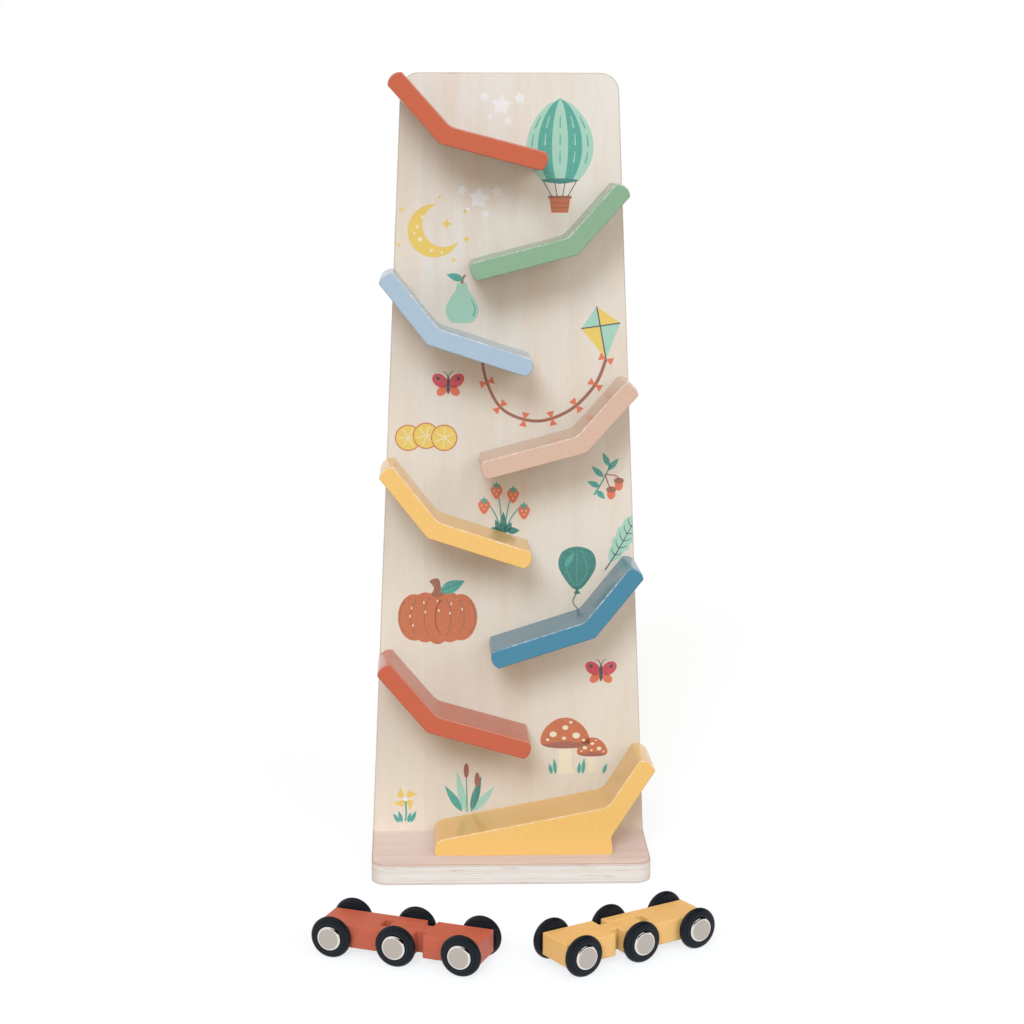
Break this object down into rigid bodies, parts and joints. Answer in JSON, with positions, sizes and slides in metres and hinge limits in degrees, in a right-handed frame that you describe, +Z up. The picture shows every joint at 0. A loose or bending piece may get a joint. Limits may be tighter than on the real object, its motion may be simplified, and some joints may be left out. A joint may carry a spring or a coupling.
{
  "type": "click clack track toy",
  "caption": "Wooden click clack track: bent painted ramps on a leaning board and base, with hinged cars that roll and tumble down them.",
  "frame": {"origin": "centre of the base's flat underside, on the surface that the toy stands on", "axes": "+X to the toy's right seen from the front, +Y towards its back, +Z up. The cars stand in front, at negative Y."},
  "size_m": [0.269, 0.3092, 0.5689],
  "materials": {
    "natural_ply": "sanded birch plywood",
    "paint_brick": "satin paint",
    "paint_green": "satin paint",
    "paint_sky": "satin paint",
    "paint_nude": "satin paint",
    "paint_amber": "satin paint",
    "paint_teal": "satin paint",
    "paint_brick_car": "satin paint",
    "paint_amber_car": "satin paint",
    "black_plastic": "moulded",
    "black_rubber": "matt",
    "nickel": "satin nickel plate",
    "steel": "zinc plate"
  },
  "bodies": {
    "track": {"base": "natural_ply", "backboard": "natural_ply", "ramp_1": "paint_brick", "ramp_2": "paint_green", "ramp_3": "paint_sky", "ramp_4": "paint_nude", "ramp_5": "paint_amber", "ramp_6": "paint_teal", "ramp_7": "paint_brick", "ramp_8": "paint_amber", "ramp_screws": "steel", "foot_screws": "steel"},
    "red_fork": {"red_fork_body": "paint_brick_car"},
    "red_tongue": {"red_tongue_body": "paint_brick_car"},
    "red_front_wheelset": {"red_front_axle": "steel", "red_front_left_wheel": "black_plastic", "red_front_left_tyre": "black_rubber", "red_front_left_cap": "nickel", "red_front_right_wheel": "black_plastic", "red_front_right_tyre": "black_rubber", "red_front_right_cap": "nickel"},
    "red_middle_wheelset": {"red_middle_axle": "steel", "red_middle_left_wheel": "black_plastic", "red_middle_left_tyre": "black_rubber", "red_middle_left_cap": "nickel", "red_middle_right_wheel": "black_plastic", "red_middle_right_tyre": "black_rubber", "red_middle_right_cap": "nickel"},
    "red_rear_wheelset": {"red_rear_axle": "steel", "red_rear_left_wheel": "black_plastic", "red_rear_left_tyre": "black_rubber", "red_rear_left_cap": "nickel", "red_rear_right_wheel": "black_plastic", "red_rear_right_tyre": "black_rubber", "red_rear_right_cap": "nickel"},
    "yellow_fork": {"yellow_fork_body": "paint_amber_car"},
    "yellow_tongue": {"yellow_tongue_body": "paint_amber_car"},
    "yellow_front_wheelset": {"yellow_front_axle": "steel", "yellow_front_left_wheel": "black_plastic", "yellow_front_left_tyre": "black_rubber", "yellow_front_left_cap": "nickel", "yellow_front_right_wheel": "black_plastic", "yellow_front_right_tyre": "black_rubber", "yellow_front_right_cap": "nickel"},
    "yellow_middle_wheelset": {"yellow_middle_axle": "steel", "yellow_middle_left_wheel": "black_plastic", "yellow_middle_left_tyre": "black_rubber", "yellow_middle_left_cap": "nickel", "yellow_middle_right_wheel": "black_plastic", "yellow_middle_right_tyre": "black_rubber", "yellow_middle_right_cap": "nickel"},
    "yellow_rear_wheelset": {"yellow_rear_axle": "steel", "yellow_rear_left_wheel": "black_plastic", "yellow_rear_left_tyre": "black_rubber", "yellow_rear_left_cap": "nickel", "yellow_rear_right_wheel": "black_plastic", "yellow_rear_right_tyre": "black_rubber", "yellow_rear_right_cap": "nickel"}
  },
  "joints": [
    {"name": "red_car_roll", "type": "slide", "parent": "track", "child": "red_fork", "axis": [0.9239, -0.3827, 0], "range_m": [-0.15, 0.005]},
    {"name": "red_fold", "type": "hinge", "parent": "red_fork", "child": "red_tongue", "pos_m": [-0.07471, -0.1983, 0.014], "axis": [0.3827, 0.9239, 0], "range_deg": [-130, 130]},
    {"name": "red_front_spin", "type": "hinge", "parent": "red_tongue", "child": "red_front_wheelset", "pos_m": [-0.03222, -0.2159, 0.014], "axis": [0.3827, 0.9239, 0], "continuous": true},
    {"name": "red_middle_spin", "type": "hinge", "parent": "red_fork", "child": "red_middle_wheelset", "pos_m": [-0.07471, -0.1983, 0.014], "axis": [0.3827, 0.9239, 0], "continuous": true},
    {"name": "red_rear_spin", "type": "hinge", "parent": "red_fork", "child": "red_rear_wheelset", "pos_m": [-0.11721, -0.1807, 0.014], "axis": [0.3827, 0.9239, 0], "continuous": true},
    {"name": "yellow_car_roll", "type": "slide", "parent": "track", "child": "yellow_fork", "axis": [-0.8572, -0.515, 0], "range_m": [-0.15, 0.005]},
    {"name": "yellow_fold", "type": "hinge", "parent": "yellow_fork", "child": "yellow_tongue", "pos_m": [0.07003, -0.1959, 0.014], "axis": [0.515, -0.8572, 0], "range_deg": [-130, 130]},
    {"name": "yellow_front_spin", "type": "hinge", "parent": "yellow_tongue", "child": "yellow_front_wheelset", "pos_m": [0.03061, -0.21959, 0.014], "axis": [0.515, -0.8572, 0], "continuous": true},
    {"name": "yellow_middle_spin", "type": "hinge", "parent": "yellow_fork", "child": "yellow_middle_wheelset", "pos_m": [0.07003, -0.1959, 0.014], "axis": [0.515, -0.8572, 0], "continuous": true},
    {"name": "yellow_rear_spin", "type": "hinge", "parent": "yellow_fork", "child": "yellow_rear_wheelset", "pos_m": [0.10946, -0.17221, 0.014], "axis": [0.515, -0.8572, 0], "continuous": true}
  ]
}
